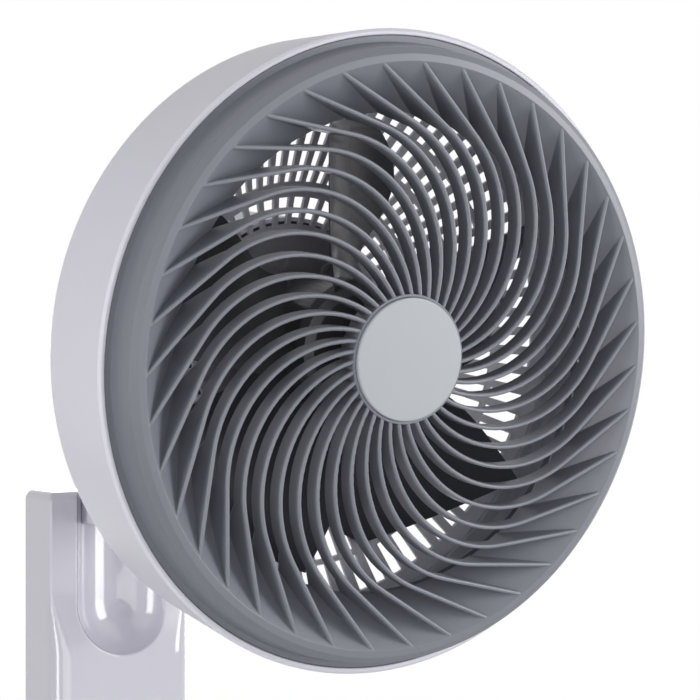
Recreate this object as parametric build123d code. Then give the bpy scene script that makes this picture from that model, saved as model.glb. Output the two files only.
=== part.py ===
from build123d import *
from math import acos, asin, cos, pi, radians, sin, sqrt
import os

# Wall fan: a drum-shaped head on an arm, carried by a slim column that hangs on
# a steel wall bracket.  Millimetres.  The wall is the plane y = 0, the fan faces
# -Y, +Z is up, and the origin is the centre of the bracket's four wall holes.
#
# The head is drawn in its own frame: origin in the middle of the front ring,
# +Y to the rear along the fan's axis, +Z up.  It is then tipped and put in place.

# ---------------------------------------------------------------- driving sizes
running_fit = 0.05          # radial gap of a shaft in its bearing
hand_gap = 0.3              # gap between parts that slide or turn past each other
seat_gap = 0.1              # gap where one part rests on another across a joint

# where the head stands
head_reach = 350.4          # wall to the middle of the front ring
head_height = 229.5         # bracket centre to the middle of the front ring
head_tip = 6.53             # degrees that the fan looks down at rest

# front grille
mouth_radius = 150.0        # inner edge of the front ring
ring_face_width = 3.7       # flat face of the ring
ring_edge_width = 3.4       # sloped outer part of the face
ring_edge_drop = 3.1
ring_step_depth = 18.4      # front ring to the groove at the drum's rim
ring_flare = 2.2            # the ring grows by this much back to the groove
flange_width = 3.3
flange_thickness = 2.6
grille_wall = 2.0
funnel_width = 26.0         # the funnel narrows by this much behind the ribs
funnel_depth = 20.0
throat_lip = 4.0
rib_count = 39
rib_width = 2.3
rib_front = 0.35            # ribs start this far behind the ring's face
rib_arc_share = 0.4487      # each rib is an arc through the fan's centre ...
rib_bend_share = 0.7933     # ... and runs on straight from this share of the ring's radius
rib_phase = 8.9             # degrees
rib_rear = 9.6              # depth of the ribs' rear edge in front of the wheel ...
rib_root = 21.0             # ... and where they meet the throat
rib_root_width = 7.0
hub_radius = 33.2
hub_depth = 13.0
hub_wall = 3.0
disc_radius = 31.6
disc_thickness = 3.0
disc_proud = 1.6

# drum
drum_rim_width = 3.5        # drum's rim outside the grille's flange
drum_taper = 4.8            # the drum narrows by this much to the rear
drum_wall = 2.8
drum_front = 17.6
drum_length = 67.2
drum_corner = 5.0
drum_flange_width = 11.3    # rear edge that carries the guard
guard_recess = 3.4          # the guard's rim lies this deep in the drum's rear edge
drum_screw_inset = 3.0
drum_screw_head = 2.6
ledge_width = 5.1           # shelf that the grille's flange is screwed to
ledge_thickness = 2.8

# rear guard
guard_wall = 2.4
guard_shoulder_width = 5.0
guard_shoulder_rise = 2.7
guard_dish_radius = 82.0
guard_dish_depth = 112.0
guard_flat_radius = 58.5
guard_flat_depth = 117.8
guard_hole_radius = 16.0
outer_slots = 78
outer_slot_angle = 2.6
outer_slot_rows = 3
slot_bridge = 2.5           # solid web between two rows of slots
inner_slots = 48
inner_slot_angle = 5.0
inner_slot_length = 15.0
plate_thickness = 2.0       # dark plate on the guard's middle
plate_margin = 1.5
plate_bosses = 8
plate_boss_circle = 41.0
plate_boss_radius = 5.5
plate_boss_height = 1.6

# impeller
blade_count = 5
blade_tip_gap = 5.0
blade_thickness = 2.4
blade_phase = 18.0          # degrees
blade_rear = 90.0           # depth of the blades' rear edge
# from the hub outwards: share of the tip radius, how far the front edge stands to one
# side of the blade's own radius, its depth, and how far the rear edge stands to the other
blade_stations = (
    (0.25, 18.0, 44.0, 28.0),
    (0.50, 31.0, 33.0, 33.0),
    (0.70, 35.0, 30.0, 44.0),
    (0.86, 37.0, 29.0, 40.0),
    (1.00, 38.5, 29.0, 25.0),
)
blade_camber = 0.07
blade_trim = 3.0            # blades are drawn this much too long, then trimmed to the tip radius
impeller_hub_radius = 36.0
impeller_front = 44.0
impeller_rear = 90.0
impeller_wall = 2.5
impeller_boss_radius = 9.0

# motor
shaft_radius = 4.0
shaft_front = 46.0
shaft_behind_motor = 15.0
bearing_radius = 11.0
bearing_width = 7.0
bearing_wall = 3.0
motor_radius = 41.0
bracket_face = guard_flat_depth + guard_wall + seat_gap   # front bracket against the guard's rear face
bracket_wall = 3.0
bracket_depth = 11.7
stator_length = 24.0
stator_front = bracket_face + bracket_depth
stator_rear = stator_front + stator_length
shaft_rear = stator_rear + shaft_behind_motor
rear_bracket_depth = 8.0
stator_bore = 23.0
stator_slots = 16
stator_slot_radius = 2.4
stator_slot_inset = 6.5
through = 16.0              # a cutter goes this far past the piece that it cuts
rotor_radius = 22.5
rotor_overhang = 2.0
coil_inner = 24.5
coil_outer = 35.5
coil_height = 7.0
motor_screw_circle = 38.6
motor_screw_radius = 1.6
motor_screw_angle = 45.0
mount_screw_circle = 28.0
mount_screw_radius = 1.8
screw_count = 4

# chassis, swing drive and neck
post_behind_motor = 32.0
post_depth = stator_rear + post_behind_motor   # swing axis, behind the front ring
post_radius = 5.0
post_top = -6.0
pin_drop = 84.0             # tilt pin below the fan's axis
pin_radius = 4.0
boss_radius = 11.0
boss_top = -10.0
bush_wall = 2.0
collar_radius = 17.0
collar_top = -50.2
collar_bottom = -66.0
gear_module = 1.0
gear_teeth = 34
pinion_teeth = 14
gear_height = 3.8
gear_gap = 0.4
thrust_washer_height = 1.0
barrel_radius = 14.5
barrel_width = 23.4
washer_thickness = 0.5
ear_radius = 16.0
ear_width = 8.0
swing_motor_radius = 12.0
swing_motor_height = 17.0
tab_thickness = 2.0

# motor cover
cover_radius = 64.0
cover_wall = 2.2
cover_past_post = 2.0       # the cover is straight as far as this behind the swing axis
cover_end_depth = 36.0
cover_straight = post_depth + cover_past_post
cover_rear = cover_straight + cover_end_depth
cover_round = 30.0
collar_opening = 19.0
cover_boss_circle = 53.0
cover_boss_radius = 4.0
cover_boss_height = 12.0
cover_screw_head = 3.0
cover_screw_bite = 10.0
cover_vents = 18

# column
column_width = 93.8
column_top = 147.6
column_bottom = -150.0
upper_depth = 34.8
lower_depth = 43.2
swell_top = 90.0            # front swells forward between these heights
swell_bottom = 46.0
swell_steps = 6
column_wall = 2.5
upper_edge = 1.6            # front corners above the swell
lower_edge = 12.0           # front corners below it
top_edge = 5.5
bottom_edge = 3.0
niche_half = 29.0           # half the niche's width in the column's front
niche_depth = 17.5
niche_floor = 79.0          # centre of the niche's rounded bottom
niche_edge = 0.8
niche_wall = 2.2

# column internals
back_thickness = 3.0
arm_width = 41.0
arm_wall = 5.0
arm_flange_thickness = 3.0
arm_flange_bottom = 68.0
arm_root_bottom = 128.0
arm_root_top = 144.6
arm_fork_half = 12.0
arm_bend_reach = 60.0       # from the tilt pin to the arm's bend
arm_bend_drop = 12.0
arm_lid_thickness = 2.0
arm_lid_gap = 0.2
arm_screw_x = 13.0
arm_screw_radius = 1.8
arm_screw_head = 3.4
arm_screw_seat = 2.0        # bottom of the screw head's recess in the back plate
bracket_half_x = 31.0
bracket_half_z = 44.0
bracket_thickness = 1.6
wall_hole_radius = 2.6
wall_hole_x = 44.0
wall_hole_z = 68.0
pocket_depth = 5.2
pocket_margin = 3.0
hook_x = 12.0
hook_width = 10.0
hook_height = 10.0
hook_lip = 7.0
hook_reach = 10.4
shell_screw_x = 35.0
shell_screw_z = 137.0
shell_boss_radius = 4.0
shell_screw_radius = 1.6

# controls
panel_half_x = 26.0
panel_top = 4.0
panel_bottom = -118.0
panel_proud = 0.4
panel_flange = 2.5
panel_lip = 1.5
button_radius = 8.0
button_heights = (-40.0, -62.0, -84.0, -106.0)
button_proud = 1.8
button_flange = 1.5
button_travel = 0.8
window_half_x = 15.0
window_top = -4.0
window_bottom = -18.0
board_setback = 11.0        # control board behind the column's front
board_thickness = 1.6
board_screw_radius = 1.2
board_screw_head = 2.4
board_screw_rise = 1.4
board_screw_length = 8.0
board_post_inset = 4.0      # from the panel's side to the middle of a post
board_post_radius = 2.5
power_board_depth = 12.4
power_board_top = -62.0
power_board_bottom = -132.0
power_board_half_x = 26.0
power_post_radius = 3.0
power_edge = 5.0            # from the board's end to the middle of a post
capacitor_radius = 5.0
capacitor_height = 12.0
transformer_height = 12.5
relay_height = 11.0
terminal_height = 8.0
inlet_radius = 6.0
inlet_depth = 24.0

# ---------------------------------------------------------------- derived sizes
face_edge_radius = mouth_radius + ring_face_width
ring_outer_radius = face_edge_radius + ring_edge_width
ring_step_radius = ring_outer_radius + ring_flare
flange_radius = ring_step_radius + flange_width
throat_radius = mouth_radius - funnel_width
rib_bend_radius = mouth_radius * rib_bend_share
rib_arc_radius = mouth_radius * rib_arc_share
drum_front_radius = flange_radius + drum_rim_width
drum_rear_radius = drum_front_radius - drum_taper
drum_rear = drum_front + drum_length
drum_flange_inner = drum_rear_radius - drum_flange_width
guard_seat_radius = drum_rear_radius - drum_corner - hand_gap
drum_screw_circle = guard_seat_radius - drum_screw_inset
drum_seat = drum_rear - guard_recess
drum_rim_inner = flange_radius + hand_gap
ledge_inner = flange_radius - ledge_width
blade_tip_radius = throat_radius - blade_tip_gap
plate_front = guard_flat_depth - seat_gap - plate_thickness
plate_radius = guard_flat_radius - plate_margin
grille_rear = ring_step_depth + flange_thickness
guard_rim_front = drum_seat + seat_gap
guard_shoulder_radius = drum_flange_inner - guard_shoulder_width
guard_shoulder_depth = guard_rim_front + guard_shoulder_rise
niche_radius = (niche_half ** 2 + niche_depth ** 2) / (2 * niche_depth)
niche_axis = upper_depth - niche_depth + niche_radius
board_depth = lower_depth - board_setback
gear_pitch = gear_module * gear_teeth / 2
pinion_pitch = gear_module * pinion_teeth / 2
gear_centres = gear_pitch + pinion_pitch
gear_bottom = collar_top + gear_gap
washer_bottom = gear_bottom + gear_height
boss_bottom = washer_bottom + thrust_washer_height + seat_gap
ear_inner = barrel_width / 2 + washer_thickness + 2 * seat_gap
panel_front = lower_depth + panel_proud
panel_rear = lower_depth - column_wall - panel_flange

nodes = {}
head_place = Pos(0, -head_reach, head_height) * Rot(head_tip, 0, 0)


# ---------------------------------------------------------------- small helpers
def turned(outline):
    """Body of revolution about the fan's axis from (radius, depth) points."""
    return revolve(make_face(Polyline(*outline, close=True)), axis=Axis.Y)


def bar(radius, start, end):
    """Round bar between two points."""
    along = Vector(*end) - Vector(*start)
    return extrude(Plane(origin=start, z_dir=along) * Circle(radius), amount=along.length)


def tube(outer, inner, start, end):
    return bar(outer, start, end) - bar(inner, start, end)


def block(x0, x1, y0, y1, z0, z1):
    return Pos((x0 + x1) / 2, (y0 + y1) / 2, (z0 + z1) / 2) * Box(x1 - x0, y1 - y0, z1 - z0)


def around(shape, count, first=0.0):
    """Copies of a shape round the fan's axis, counter-clockwise from the front."""
    return [Rot(0, -(first + 360 * i / count), 0) * shape for i in range(count)]


def outline_x(points, half_width):
    """Solid of constant width along X from a (y, z) side outline."""
    side = Plane.YZ * make_face(Polyline(*points, close=True))
    return extrude(side, amount=half_width, both=True)


def group(solids):
    return Compound(children=list(solids))


def pan_screw(shank, head_radius, head_height, seat, tip):
    """Screw whose head sits at seat and whose shank runs to tip."""
    back = Vector(*seat) - (Vector(*tip) - Vector(*seat)).normalized() * head_height
    return bar(head_radius, tuple(back), seat) + bar(shank, seat, tip)


def keep(name, shape, place=None):
    nodes[name] = place * shape if place else shape


# ---------------------------------------------------------------- front grille
def rib_path():
    """A rib's centre line seen from the front: an arc through the fan's centre,
    then its tangent out to the ring."""
    first = 180 + 2 * asin(hub_radius * 0.93 / (2 * rib_arc_radius)) * 180 / pi
    last = 180 + 2 * asin(rib_bend_radius / (2 * rib_arc_radius)) * 180 / pi
    bow = CenterArc((rib_arc_radius, 0), rib_arc_radius, first, last - first)
    bend = bow @ 1
    heading = (bow % 1).normalized()
    lean = bend.dot(heading)
    ring_reach = mouth_radius + grille_wall / 2
    run = -lean + sqrt(lean ** 2 - bend.dot(bend) + ring_reach ** 2)
    return Wire([bow, Line(bend, bend + heading * run)])


def rib_blade():
    """One rib: a deep blade with a rounded front edge."""
    flat_path = rib_path()
    path = Plane(origin=(0, 0, 0), x_dir=(1, 0, 0), z_dir=(0, -1, 0)) * flat_path
    half = rib_width / 2
    depth = rib_root + 3
    section = Pos(rib_front + half, 0) * Circle(half)
    section += Pos((rib_front + half + depth) / 2, 0) * Rectangle(depth - rib_front - half, rib_width)
    start = Plane(origin=path @ 0, x_dir=(0, 1, 0), z_dir=path % 0)
    return sweep(start * section, path=path)


def front_grille():
    cone_back = grille_wall * 1.3
    ring = turned([
        (mouth_radius, 0.0),
        (face_edge_radius, 0.5),
        (ring_outer_radius, 0.5 + ring_edge_drop),
        (ring_step_radius, ring_step_depth),
        (flange_radius, ring_step_depth),
        (flange_radius, grille_rear),
        (ring_step_radius - grille_wall, grille_rear),
        (ring_outer_radius - grille_wall, ring_edge_drop + grille_wall),
        (mouth_radius + 1.2, cone_back),
        (throat_radius + grille_wall, funnel_depth + 1.0),
        (throat_radius + grille_wall, funnel_depth + throat_lip),
        (throat_radius, funnel_depth + throat_lip),
        (throat_radius, funnel_depth),
    ])
    boss = turned([
        (0, disc_thickness - disc_proud),
        (disc_radius + 0.2, disc_thickness - disc_proud),
        (disc_radius + 0.2, 0.2),
        (hub_radius, 0.2),
        (hub_radius, hub_depth),
        (hub_radius - hub_wall, hub_depth),
        (hub_radius - hub_wall, disc_thickness - disc_proud + hub_wall),
        (0, disc_thickness - disc_proud + hub_wall),
    ])
    room = turned([
        (0, -1),
        (mouth_radius + 1.5, -1),
        (mouth_radius + 1.5, 1.2),
        (throat_radius + 1.2, rib_root),
        (throat_radius, rib_root),
        (throat_radius - rib_root_width, rib_rear),
        (0, rib_rear),
    ])
    rib = rib_blade() & room
    rib -= bar(hub_radius - 1.0, (0, -2, 0), (0, rib_root, 0))
    holes = [bar(1.2, (x, ring_step_depth + 0.8, z), (x, grille_rear + 1, z)) for x, z in grille_screw_spots()]
    return ring.fuse(boss, *around(rib, rib_count, rib_phase)).cut(*holes)


def hub_disc():
    rear = disc_thickness - disc_proud
    disc = turned([(0, -disc_proud), (disc_radius, -disc_proud), (disc_radius, rear), (0, rear)])
    return fillet(disc.edges().group_by(Axis.Y)[0], 0.8)


# ---------------------------------------------------------------- drum and guard
def drum_shell():
    rim = 1.4
    outer = [
        (drum_rim_inner + 0.4, drum_front),
        (drum_front_radius - rim, drum_front),
        (drum_front_radius, drum_front + rim),
        (drum_rear_radius, drum_rear - drum_corner),
        (drum_rear_radius - drum_corner * 0.3, drum_rear - drum_corner * 0.3),
        (drum_rear_radius - drum_corner, drum_rear),
        (guard_seat_radius, drum_rear),
        (guard_seat_radius, drum_seat),
        (drum_flange_inner, drum_seat),
    ]
    inner = [
        (drum_flange_inner, drum_seat - drum_wall),
        (drum_rear_radius - drum_corner, drum_seat - drum_wall),
        (drum_rear_radius - drum_wall, drum_seat - drum_corner),
        (drum_front_radius - drum_wall, grille_rear + ledge_thickness + seat_gap),
        (ledge_inner, grille_rear + ledge_thickness + seat_gap),
        (ledge_inner, grille_rear + seat_gap),
        (drum_rim_inner, grille_rear + seat_gap),
        (drum_rim_inner, drum_front + 0.4),
    ]
    low, high = drum_seat - drum_wall - 1, drum_rear + 1
    holes = [bar(shell_screw_radius, (x, low, z), (x, high, z)) for x, z in drum_screw_spots()]
    holes += [bar(1.35, (x, ring_step_depth, z), (x, grille_rear + 6, z)) for x, z in grille_screw_spots()]
    return turned(outer + inner).cut(*holes)


def guard_front_line():
    return [
        (drum_flange_inner - 0.5, guard_rim_front),
        (guard_shoulder_radius, guard_shoulder_depth),
        (guard_dish_radius, guard_dish_depth),
        (guard_flat_radius, guard_flat_depth),
        (guard_hole_radius, guard_flat_depth),
    ]


def slot_cutter(inner, outer, angle):
    """Radial slot between two radii, cut straight through along the axis."""
    half = radians(angle / 2)
    corners = [(r * cos(a), r * sin(a)) for r, a in
               ((inner, -half), (outer, -half), (outer, half), (inner, half))]
    start = Plane(origin=(0, guard_flat_depth + 8, 0), x_dir=(1, 0, 0), z_dir=(0, -1, 0))
    return extrude(start * make_face(Polyline(*corners, close=True)), amount=50)


def rear_guard():
    front = guard_front_line()
    rear = [(r, d + guard_wall) for r, d in reversed(front)]
    rear[-1] = (drum_flange_inner + 0.2, guard_rim_front + guard_wall)
    rim_radius = guard_seat_radius - hand_gap
    rim = [(rim_radius, guard_rim_front + guard_wall), (rim_radius, guard_rim_front)]
    shell = turned(front + rear + rim)
    cutters = around(slot_cutter(guard_flat_radius + 2, guard_flat_radius + 2 + inner_slot_length, inner_slot_angle), inner_slots)
    row_start = guard_dish_radius + 2
    row_pitch = (guard_shoulder_radius - 2 + slot_bridge - row_start) / outer_slot_rows
    for row in range(outer_slot_rows):
        inner = row_start + row * row_pitch
        cutters += around(slot_cutter(inner, inner + row_pitch - slot_bridge, outer_slot_angle), outer_slots)
    for circle, hole in ((mount_screw_circle, mount_screw_radius), (cover_boss_circle, shell_screw_radius)):
        far = guard_flat_depth + 10
        cutters += around(bar(hole + 0.15, (circle, guard_flat_depth - 5, 0), (circle, far, 0)), screw_count, 45)
    for x, z in drum_screw_spots():
        cutters.append(bar(shell_screw_radius + 0.15, (x, drum_rear - 4, z), (x, drum_rear + 8, z)))
    return shell.cut(*cutters)


def drum_screw_spots():
    circle = drum_screw_circle
    return [(circle * cos(radians(a)), circle * sin(radians(a))) for a in range(30, 360, 60)]


def mounting_plate():
    """Plate with round bosses on the guard's middle, under the motor's screws."""
    rear = guard_flat_depth - seat_gap
    inner = guard_hole_radius + 0.5
    plate = turned([(inner, plate_front), (plate_radius, plate_front), (plate_radius, rear), (inner, rear)])
    top = plate_front - plate_boss_height
    boss = tube(plate_boss_radius, plate_boss_radius / 2, (plate_boss_circle, top, 0), (plate_boss_circle, plate_front, 0))
    boss = fillet(boss.edges().filter_by(GeomType.CIRCLE).group_by(Axis.Y)[0], 0.5)
    cutters = []
    for circle, hole in ((mount_screw_circle, mount_screw_radius), (cover_boss_circle, shell_screw_radius)):
        cutters += around(bar(hole + 0.15, (circle, top - 1, 0), (circle, rear + 1, 0)), screw_count, 45)
    return plate.fuse(*around(boss, plate_bosses, 360 / plate_bosses / 4)).cut(*cutters)


def drum_screws():
    return group(pan_screw(shell_screw_radius, drum_screw_head, 2.0, (x, guard_rim_front + guard_wall, z),
                           (x, drum_seat - drum_wall, z)) for x, z in drum_screw_spots())


def grille_screw_spots():
    circle = (ledge_inner + flange_radius) / 2 + 0.2
    return [(circle * cos(radians(a)), circle * sin(radians(a))) for a in (45, 135, 225, 315)]


def grille_screws():
    seat = grille_rear + ledge_thickness + seat_gap
    return group(pan_screw(1.2, 2.2, 1.6, (x, seat, z), (x, ring_step_depth + 0.8, z)) for x, z in grille_screw_spots())


# ---------------------------------------------------------------- impeller
def blade_section(radius, ahead, front, behind):
    """Cambered strip across the blade at one radius, hollow towards the front."""
    chord = sqrt((ahead + behind) ** 2 + (blade_rear - front) ** 2)
    sag = -chord * blade_camber
    half = chord / 2
    edge = blade_thickness * 0.3
    lower = ThreePointArc((-half, -edge / 2), (0, sag - blade_thickness / 2), (half, -edge / 2))
    tail = Line((half, -edge / 2), (half, edge / 2))
    upper = ThreePointArc((half, edge / 2), (0, sag + blade_thickness / 2), (-half, edge / 2))
    nose = Line((-half, edge / 2), (-half, -edge / 2))
    strip = make_face([lower, tail, upper, nose])
    middle = (radius, (front + blade_rear) / 2, (ahead - behind) / 2)
    along = (0, front - blade_rear, ahead + behind)
    return Plane(origin=middle, x_dir=along, z_dir=(1, 0, 0)) * strip


def impeller():
    drawn_tip = blade_tip_radius + blade_trim
    blade = loft([blade_section(share * drawn_tip, *edges) for share, *edges in blade_stations])
    front, back = 0, guard_flat_depth
    reach = turned([(0, front), (blade_tip_radius, front), (blade_tip_radius, back), (0, back)])
    blade = (blade & reach) - bar(impeller_hub_radius - impeller_wall, (0, front, 0), (0, back, 0))
    rear = impeller_rear
    nut_room = 14.0
    hub = turned([
        (shaft_radius + running_fit, impeller_front + 9),
        (nut_room - 3.5, impeller_front + 9),
        (nut_room, impeller_front),
        (impeller_hub_radius - 7, impeller_front),
        (impeller_hub_radius - 2, impeller_front + 2),
        (impeller_hub_radius, impeller_front + 7),
        (impeller_hub_radius, rear),
        (impeller_hub_radius - impeller_wall, rear),
        (impeller_hub_radius - impeller_wall, impeller_front + 11.5),
        (impeller_boss_radius, impeller_front + 11.5),
        (impeller_boss_radius, rear - 2),
        (shaft_radius + running_fit, rear - 2),
    ])
    body = hub.fuse(*around(blade, blade_count, blade_phase))
    slot = block(-impeller_boss_radius, impeller_boss_radius, rear - 6, rear - 1, -1.6, 1.6)
    return body - (slot & bar(impeller_boss_radius + 0.5, (0, rear - 7, 0), (0, rear, 0)))


def spinner_nut():
    front = impeller_front + 1.5
    seat = impeller_front + 9
    nut = turned([(0, front), (6.5, front), (8.0, front + 1.5), (8.0, seat - 2.0), (9.8, seat - 2.0), (9.8, seat), (0, seat)])
    return nut - bar(shaft_radius, (0, shaft_front, 0), (0, seat + 1, 0))


def motor_shaft():
    shaft = bar(shaft_radius, (0, shaft_front, 0), (0, shaft_rear, 0))
    return shaft - bar(1.5, (-6, impeller_rear - 4, 0), (6, impeller_rear - 4, 0))


def drive_pin():
    depth = impeller_rear - 4
    return bar(1.5, (-8, depth, 0), (8, depth, 0))


# ---------------------------------------------------------------- motor
def bearing_span(front_end):
    """Depths of the front or rear bearing."""
    if front_end:
        return bracket_face - bearing_width + bracket_wall - 2.0, bracket_face + bracket_wall - 2.0
    rear_face = stator_rear + rear_bracket_depth
    return rear_face + 0.8, rear_face + 0.8 + bearing_width


def motor_screw_hole():
    return bar(motor_screw_radius + 0.1, (motor_screw_circle, bracket_face - through, 0),
               (motor_screw_circle, stator_rear + through, 0))


def end_bracket(front_end):
    """Pressed motor end: a flat plate with a rim on the stator and a bearing cup."""
    y0, y1 = bearing_span(front_end)
    cup = bearing_radius + bearing_wall
    if front_end:
        outline = [
            (shaft_radius + 1.5, y0 - 2), (cup, y0 - 2), (cup, bracket_face), (motor_radius, bracket_face),
            (motor_radius, stator_front), (motor_radius - 4, stator_front),
            (motor_radius - 4, bracket_face + bracket_wall), (cup, bracket_face + bracket_wall),
            (bearing_radius, y1), (bearing_radius, y0), (shaft_radius + 1.5, y0),
        ]
    else:
        plate = stator_rear + rear_bracket_depth
        outline = [
            (bearing_radius, y0), (bearing_radius, y1), (shaft_radius + 1.5, y1), (shaft_radius + 1.5, y1 + 1.2),
            (cup, y1 + 1.2), (cup, plate + bracket_wall), (motor_radius, plate + bracket_wall),
            (motor_radius, stator_rear), (motor_radius - 4, stator_rear), (motor_radius - 4, plate),
            (cup, plate),
        ]
    shell = turned(outline)
    holes = around(motor_screw_hole(), screw_count, motor_screw_angle)
    if front_end:
        hole = bar(mount_screw_radius, (mount_screw_circle, y0 - through, 0), (mount_screw_circle, stator_front, 0))
        holes += around(hole, screw_count, motor_screw_angle)
    return shell.cut(*holes)


def ball_bearing(front_end):
    y0, y1 = bearing_span(front_end)
    ring = tube(bearing_radius, shaft_radius + running_fit, (0, y0, 0), (0, y1, 0))
    groove = tube(bearing_radius - 2.0, shaft_radius + 2.2, (0, y0, 0), (0, y0 + 0.6, 0))
    return ring - groove - Pos(0, bearing_width - 0.6, 0) * groove


def stator():
    core = tube(motor_radius, stator_bore, (0, stator_front, 0), (0, stator_rear, 0))
    holes = around(motor_screw_hole(), screw_count, motor_screw_angle)
    slot_at = stator_bore + stator_slot_inset
    slot = bar(stator_slot_radius, (slot_at, stator_front - through, 0), (slot_at, stator_rear + through, 0))
    slots = around(slot, stator_slots, 180 / stator_slots)
    return core.cut(*holes, *slots)


def coils():
    front = tube(coil_outer, coil_inner, (0, stator_front - coil_height, 0), (0, stator_front, 0))
    rear = tube(coil_outer, coil_inner, (0, stator_rear, 0), (0, stator_rear + coil_height, 0))
    front = fillet(front.edges().filter_by(GeomType.CIRCLE).group_by(Axis.Y)[0], 2.5)
    rear = fillet(rear.edges().filter_by(GeomType.CIRCLE).group_by(Axis.Y)[-1], 2.5)
    return group([front, rear])


def rotor():
    y0, y1 = stator_front - rotor_overhang, stator_rear + rotor_overhang
    return tube(rotor_radius, shaft_radius, (0, y0, 0), (0, y1, 0))


def motor_screws():
    plate = stator_rear + rear_bracket_depth + bracket_wall
    seat = plate + 3.5
    one = pan_screw(motor_screw_radius, 3.0, 2.2, (motor_screw_circle, seat, 0), (motor_screw_circle, bracket_face, 0))
    return group(around(one, screw_count, motor_screw_angle))


def mount_screws():
    one = pan_screw(mount_screw_radius, 3.4, 2.2, (mount_screw_circle, plate_front, 0),
                    (mount_screw_circle, bracket_face + bracket_wall, 0))
    return group(around(one, screw_count, 45))


def cover_screws():
    one = pan_screw(shell_screw_radius, cover_screw_head, 2.0, (cover_boss_circle, plate_front, 0),
                    (cover_boss_circle, bracket_face + cover_screw_bite, 0))
    return group(around(one, screw_count, 45))


# ---------------------------------------------------------------- chassis and swing drive
def head_chassis():
    """Casting behind the motor that holds the swing bush and the swing motor."""
    plate_front = stator_rear + rear_bracket_depth + bracket_wall
    plate_rear = plate_front + 3.5
    cup = bearing_radius + bearing_wall + 0.3
    plate = tube(motor_radius, cup, (0, plate_front, 0), (0, plate_rear, 0))
    boss = bar(boss_radius, (0, post_depth, boss_bottom), (0, post_depth, boss_top))
    web = block(-8, 8, plate_front, post_depth, boss_bottom, -cup - 1.5)
    foot = block(-6, swing_motor_radius + gear_centres, post_depth - 9, post_depth + 9, boss_bottom, boss_bottom + tab_thickness)
    gusset = block(-30, 30, plate_front, plate_rear, boss_bottom, -cup - 6)
    body = plate.fuse(boss, web, foot, gusset)
    bore = bar(post_radius + bush_wall, (0, post_depth, boss_bottom - 1), (0, post_depth, boss_top + 1))
    shaft_hole = bar(3.0, (gear_centres, post_depth, boss_bottom - 1), (gear_centres, post_depth, boss_bottom + 4))
    holes = around(motor_screw_hole(), screw_count, motor_screw_angle)
    return body.cut(bore, shaft_hole, *holes)


def swing_bush():
    return tube(post_radius + bush_wall, post_radius + running_fit, (0, post_depth, boss_bottom), (0, post_depth, boss_top))


def thrust_washer():
    return tube(8.5, post_radius + hand_gap, (0, post_depth, washer_bottom), (0, post_depth, washer_bottom + thrust_washer_height))


def gear_wheel(teeth, height, bore, at, start_angle):
    """Spur gear about a vertical axis: trapezoid teeth on the pitch circle."""
    pitch = gear_module * teeth / 2
    root, tip = pitch - 1.2 * gear_module, pitch + 0.75 * gear_module
    step = 360 / teeth
    points = []
    for i in range(teeth):
        middle = start_angle + i * step
        for radius, offset in ((root, -0.30), (tip, -0.12), (tip, 0.12), (root, 0.30)):
            a = radians(middle + offset * step)
            points.append((radius * cos(a), radius * sin(a)))
    wheel = extrude(Plane(origin=at) * make_face(Polyline(*points, close=True)), amount=height)
    return wheel - bar(bore, at, (at[0], at[1], at[2] + height))


def neck_gear():
    return gear_wheel(gear_teeth, gear_height, post_radius, (0, post_depth, gear_bottom), 0.0)


def swing_pinion():
    at = (gear_centres, post_depth, gear_bottom)
    wheel = gear_wheel(pinion_teeth, gear_height, 1.5, at, 180 + 180 / pinion_teeth)
    return wheel + bar(1.5, at, (at[0], at[1], boss_bottom + tab_thickness - 0.4))


def swing_motor():
    bottom = boss_bottom + tab_thickness
    can = bar(swing_motor_radius, (gear_centres, post_depth, bottom), (gear_centres, post_depth, bottom + swing_motor_height))
    can = fillet(can.edges().group_by(Axis.Z)[-1], 1.0)
    return can + block(gear_centres - 5, gear_centres + 5, post_depth + 9, post_depth + 15, bottom + 3, bottom + 12)


def swing_post():
    return bar(post_radius, (0, post_depth, collar_bottom - 2), (0, post_depth, post_top))


def post_retainer():
    low = boss_top + hand_gap
    return tube(8.5, post_radius, (0, post_depth, low), (0, post_depth, low + 1.5))


def neck_knuckle():
    low = -pin_drop
    half = barrel_width / 2
    collar = bar(collar_radius, (0, post_depth, collar_bottom), (0, post_depth, collar_top))
    neck = block(-half, half, post_depth - barrel_radius, post_depth + barrel_radius, low, collar_bottom)
    barrel = bar(barrel_radius, (-half, post_depth, low), (half, post_depth, low))
    body = collar.fuse(neck, barrel)
    post_hole = bar(post_radius, (0, post_depth, collar_bottom - 2), (0, post_depth, collar_top + 1))
    pin_hole = bar(pin_radius + running_fit, (-half - 1, post_depth, low), (half + 1, post_depth, low))
    return body - post_hole - pin_hole


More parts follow.
